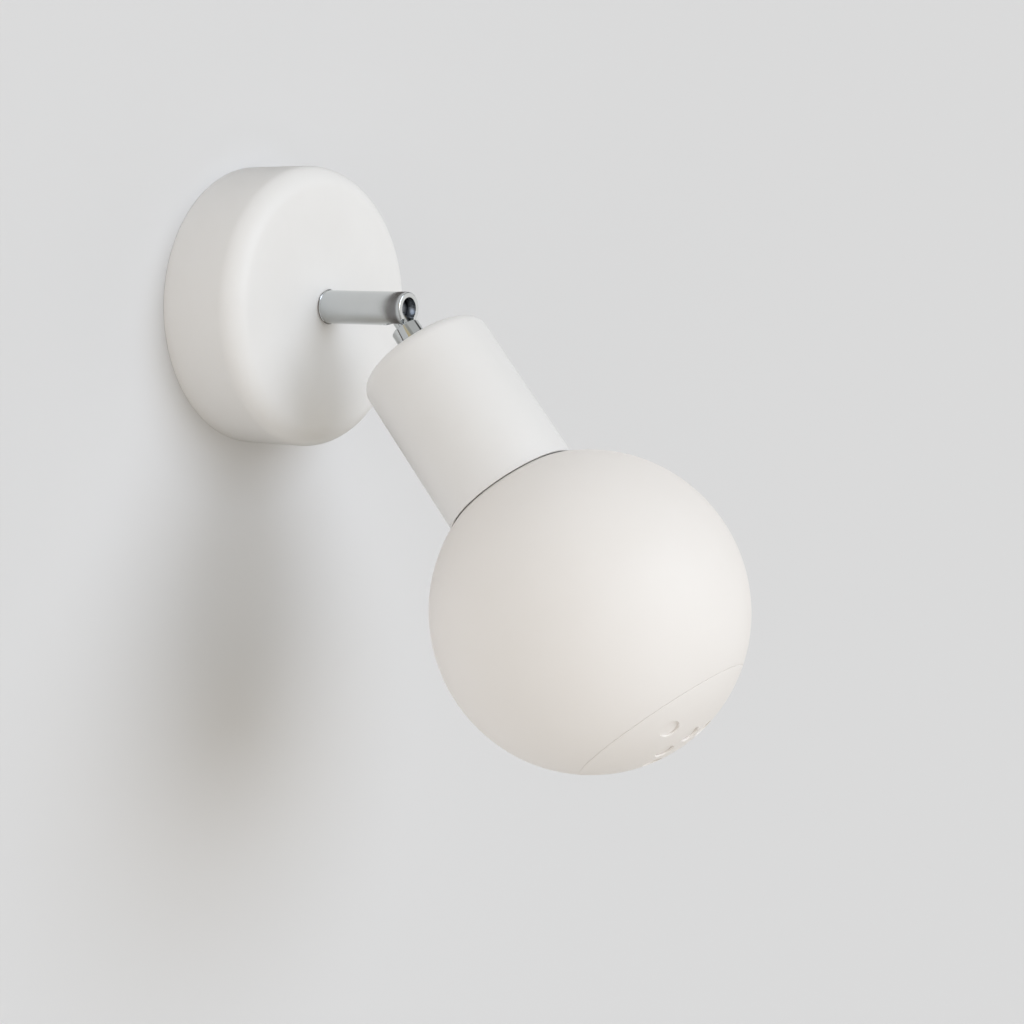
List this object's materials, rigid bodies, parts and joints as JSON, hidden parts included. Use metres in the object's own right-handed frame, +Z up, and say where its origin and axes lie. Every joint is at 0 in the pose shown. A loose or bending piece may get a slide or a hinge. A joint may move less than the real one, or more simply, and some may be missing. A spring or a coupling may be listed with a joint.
{
  "type": "pivoting spotlight wall light",
  "caption": "Pivoting spotlight wall light: round canopy, short arm with a slotted ball joint, cylindrical lamp cover and a large vented globe lamp.",
  "frame": {"origin": "centre of the flat wall face at the back of the canopy and bracket", "axes": "-Y points straight out of the wall along the arm, +Y into the wall, +X to the right of someone facing the wall, +Z up"},
  "size_m": [0.125, 0.2308, 0.2378],
  "materials": {
    "powder_white": "fine matte powder coat",
    "zinc_steel": "bright zinc plate",
    "spring_steel": "oiled spring steel",
    "plain_brass": "turned brass",
    "tinned_copper": "dull tin",
    "chrome_plate": "polished chrome plate",
    "nickel_plate": "satin nickel plate",
    "bare_aluminium": "turned aluminium",
    "fibre_brown": "pressed fibre",
    "nylon_white": "natural nylon",
    "block_nylon": "moulded nylon",
    "holder_phenolic": "black phenolic moulding",
    "contact_ceramic": "unglazed steatite",
    "insulator_black": "black moulded insulator",
    "neck_white": "white moulded plastic",
    "globe_porcelain": "porcelain-white satin moulding",
    "board_white": "white solder mask on aluminium",
    "board_green": "green circuit board",
    "chip_yellow": "phosphor-filled resin",
    "component_black": "moulded components",
    "lead_insulation": "silicone insulation, one brown and one blue lead",
    "earth_insulation": "green and yellow insulation",
    "wire_white": "thin white insulation"
  },
  "bodies": {
    "wall_base": {"canopy": "powder_white", "wall_bracket": "zinc_steel", "canopy_grub_screws": "zinc_steel", "earth_screw": "plain_brass", "earth_washer": "zinc_steel", "earth_tag": "tinned_copper", "earth_lead": "earth_insulation", "terminal_block": "block_nylon", "terminal_clamp_screws": "zinc_steel", "canopy_leads": "lead_insulation", "canopy_stiffener": "zinc_steel"},
    "arm": {"arm_base_washer": "fibre_brown", "swivel_friction_washer": "nylon_white", "swivel_stop_ring": "zinc_steel", "swivel_spring_washer": "spring_steel", "swivel_nut": "zinc_steel", "arm_nipple": "plain_brass", "arm_tube": "chrome_plate", "disc_springs": "spring_steel", "ball_plunger": "nylon_white", "arm_leads": "lead_insulation"},
    "ball_and_collar": {"ball_stem": "chrome_plate", "stem_leads": "lead_insulation"},
    "head": {"spin_washer": "fibre_brown", "lamp_cover": "powder_white", "head_nipple": "zinc_steel", "head_toothed_washer": "zinc_steel", "head_nut": "zinc_steel", "holder_cap": "holder_phenolic", "holder_skirt": "holder_phenolic", "contact_block": "contact_ceramic", "holder_terminal_screws": "plain_brass", "holder_thread_shell": "nickel_plate", "centre_contact": "plain_brass", "head_leads": "lead_insulation"},
    "lamp": {"lamp_cap": "nickel_plate", "lamp_cap_insulator": "insulator_black", "lamp_tip_contact": "tinned_copper", "lamp_neck": "neck_white", "heat_cup": "bare_aluminium", "led_board": "board_white", "led_chips": "chip_yellow", "driver_board": "board_green", "driver_parts": "component_black", "lamp_wires": "wire_white", "globe_shell": "globe_porcelain", "globe_end_cap": "globe_porcelain", "vent_baffle": "globe_porcelain"}
  },
  "joints": [
    {"name": "arm_swivel", "type": "hinge", "parent": "wall_base", "child": "arm", "pos_m": [0, -0.038, 0], "axis": [0, -1, 0], "range_deg": [-170, 170]},
    {"name": "head_tilt", "type": "hinge", "parent": "arm", "child": "ball_and_collar", "pos_m": [0, -0.0716, 0], "axis": [1, 0, 0], "range_deg": [-50, 40]},
    {"name": "head_spin", "type": "hinge", "parent": "ball_and_collar", "child": "head", "pos_m": [0, -0.0716, 0], "axis": [0, -0.6428, -0.766], "range_deg": [-170, 170]},
    {"name": "lamp_out", "type": "slide", "parent": "head", "child": "lamp", "axis": [0, -0.6428, -0.766], "range_m": [0, 0.0462]}
  ]
}
